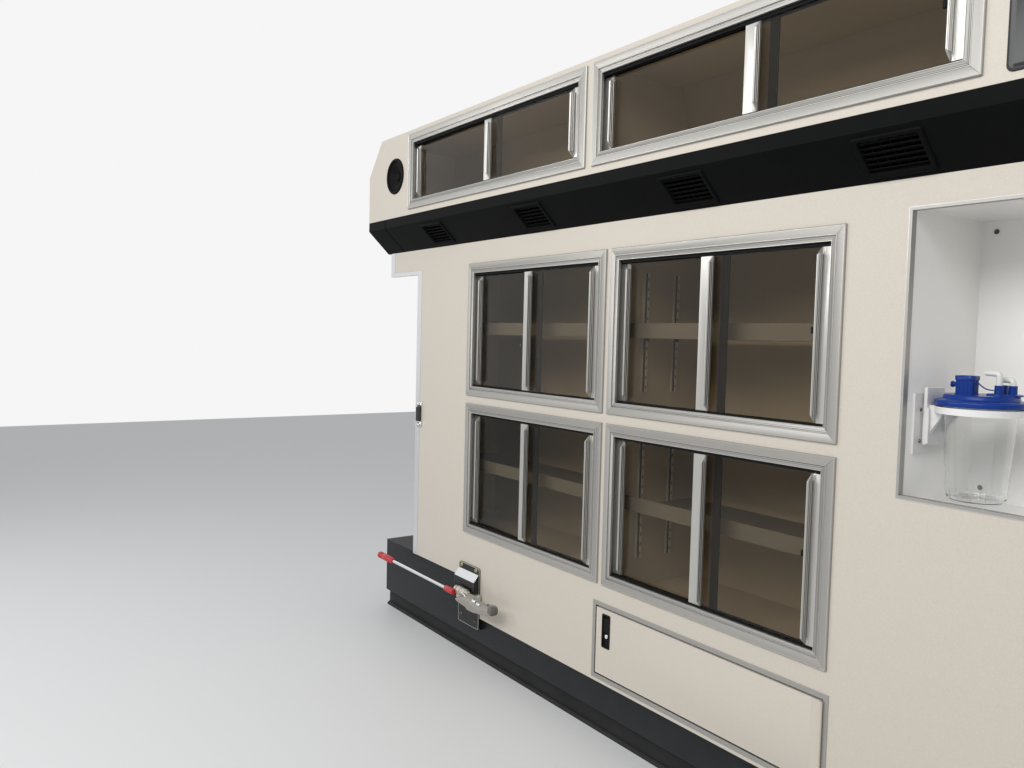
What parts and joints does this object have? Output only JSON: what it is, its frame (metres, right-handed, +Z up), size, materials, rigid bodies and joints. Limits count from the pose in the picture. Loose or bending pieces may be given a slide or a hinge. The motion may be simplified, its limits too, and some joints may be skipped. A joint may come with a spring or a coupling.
{
  "type": "ambulance patient room cabinet wall",
  "caption": "Cabinet wall from an ambulance patient room: sliding smoked windows, overhead lockers, air duct with vents, open bay with a suction canister, low locker and cot fastener.",
  "frame": {"origin": "middle of the base on the floor", "axes": "+X forward along the vehicle, +Y into the wall away from the aisle, +Z up"},
  "size_m": [2.75, 0.482, 1.878],
  "materials": {
    "raw_wood": "sealed plywood rail",
    "toe_vinyl": "coved black vinyl",
    "kick_steel": "dark brushed kick plate",
    "wheel_box_skin": "black textured skin",
    "cabinet_board": "plywood with beige-grey laminate",
    "wall_laminate": "plywood with warm light grey, fine-textured laminate",
    "white_trim": "white anodised edge trim",
    "satin_aluminium": "satin anodised extrusion",
    "black_plastic": "black moulded plastic and felt",
    "shelf_sheet": "beige-grey powder coat",
    "liner_plastic": "off-white moulded liner",
    "white_enamel": "white enamel",
    "clear_plastic": "clear moulded plastic",
    "blue_plastic": "royal blue moulded plastic",
    "duct_plastic": "black satin moulding",
    "speaker_plastic": "black moulded ring and cone",
    "panel_plastic": "dark smooth panel",
    "plate_steel": "plated steel",
    "bright_steel": "bright plating",
    "cast_arm": "beige-grey cast arm",
    "red_plastic": "red grip",
    "strap_rubber": "ribbed black rubber",
    "smoked_pane": "smoked brown acrylic, clear to look through"
  },
  "bodies": {
    "wall": {"air_duct": "duct_plastic", "back_panel": "cabinet_board", "base_rails": "raw_wood", "canister": "clear_plastic", "canister_bracket": "white_enamel", "canister_lid": "blue_plastic", "clamp_arm": "cast_arm", "clamp_hood": "bright_steel", "clamp_plate": "plate_steel", "control_panel": "panel_plastic", "draw_strap": "strap_rubber", "duct_vents": "duct_plastic", "edge_trims": "white_trim", "end_board": "wall_laminate", "face_panel": "wall_laminate", "kick_plate": "kick_steel", "level_boards": "cabinet_board", "locker_door_frame": "satin_aluminium", "niche_liner": "liner_plastic", "overhead_face": "wall_laminate", "release_rod": "bright_steel", "rod_grips": "red_plastic", "shelf_standards": "satin_aluminium", "shelves": "shelf_sheet", "speaker": "speaker_plastic", "strap_brackets": "bright_steel", "toe_skirting": "toe_vinyl", "upright_boards": "cabinet_board", "wheel_box": "wheel_box_skin", "window_frames": "satin_aluminium", "window_tracks": "black_plastic"},
    "lower_rear_inner_sash": {"lower_rear_inner_pane": "smoked_pane", "lower_rear_inner_pull": "satin_aluminium"},
    "lower_rear_outer_sash": {"lower_rear_outer_pane": "smoked_pane", "lower_rear_outer_pull": "satin_aluminium"},
    "lower_front_inner_sash": {"lower_front_inner_pane": "smoked_pane", "lower_front_inner_pull": "satin_aluminium"},
    "lower_front_outer_sash": {"lower_front_outer_pane": "smoked_pane", "lower_front_outer_pull": "satin_aluminium"},
    "upper_rear_inner_sash": {"upper_rear_inner_pane": "smoked_pane", "upper_rear_inner_pull": "satin_aluminium"},
    "upper_rear_outer_sash": {"upper_rear_outer_pane": "smoked_pane", "upper_rear_outer_pull": "satin_aluminium"},
    "upper_front_inner_sash": {"upper_front_inner_pane": "smoked_pane", "upper_front_inner_pull": "satin_aluminium"},
    "upper_front_outer_sash": {"upper_front_outer_pane": "smoked_pane", "upper_front_outer_pull": "satin_aluminium"},
    "overhead_rear_inner_sash": {"overhead_rear_inner_pane": "smoked_pane", "overhead_rear_inner_pull": "satin_aluminium"},
    "overhead_rear_outer_sash": {"overhead_rear_outer_pane": "smoked_pane", "overhead_rear_outer_pull": "satin_aluminium"},
    "overhead_front_inner_sash": {"overhead_front_inner_pane": "smoked_pane", "overhead_front_inner_pull": "satin_aluminium"},
    "overhead_front_outer_sash": {"overhead_front_outer_pane": "smoked_pane", "overhead_front_outer_pull": "satin_aluminium"},
    "locker_leaf": {"locker_door": "wall_laminate", "locker_latch": "black_plastic"}
  },
  "joints": [
    {"name": "lower_rear_inner_slide", "type": "slide", "parent": "wall", "child": "lower_rear_inner_sash", "axis": [1, 0, 0], "range_m": [0, 0.254]},
    {"name": "lower_rear_outer_slide", "type": "slide", "parent": "wall", "child": "lower_rear_outer_sash", "axis": [1, 0, 0], "range_m": [-0.254, 0]},
    {"name": "lower_front_inner_slide", "type": "slide", "parent": "wall", "child": "lower_front_inner_sash", "axis": [1, 0, 0], "range_m": [0, 0.254]},
    {"name": "lower_front_outer_slide", "type": "slide", "parent": "wall", "child": "lower_front_outer_sash", "axis": [1, 0, 0], "range_m": [-0.254, 0]},
    {"name": "upper_rear_inner_slide", "type": "slide", "parent": "wall", "child": "upper_rear_inner_sash", "axis": [1, 0, 0], "range_m": [0, 0.254]},
    {"name": "upper_rear_outer_slide", "type": "slide", "parent": "wall", "child": "upper_rear_outer_sash", "axis": [1, 0, 0], "range_m": [-0.254, 0]},
    {"name": "upper_front_inner_slide", "type": "slide", "parent": "wall", "child": "upper_front_inner_sash", "axis": [1, 0, 0], "range_m": [0, 0.254]},
    {"name": "upper_front_outer_slide", "type": "slide", "parent": "wall", "child": "upper_front_outer_sash", "axis": [1, 0, 0], "range_m": [-0.254, 0]},
    {"name": "overhead_rear_inner_slide", "type": "slide", "parent": "wall", "child": "overhead_rear_inner_sash", "axis": [1, 0, 0], "range_m": [0, 0.414]},
    {"name": "overhead_rear_outer_slide", "type": "slide", "parent": "wall", "child": "overhead_rear_outer_sash", "axis": [1, 0, 0], "range_m": [-0.414, 0]},
    {"name": "overhead_front_inner_slide", "type": "slide", "parent": "wall", "child": "overhead_front_inner_sash", "axis": [1, 0, 0], "range_m": [0, 0.414]},
    {"name": "overhead_front_outer_slide", "type": "slide", "parent": "wall", "child": "overhead_front_outer_sash", "axis": [1, 0, 0], "range_m": [-0.414, 0]},
    {"name": "locker_door_hinge", "type": "hinge", "parent": "wall", "child": "locker_leaf", "pos_m": [0.6925, -0.145, 0.2785], "axis": [0, 0, 1], "range_deg": [0, 100]}
  ]
}
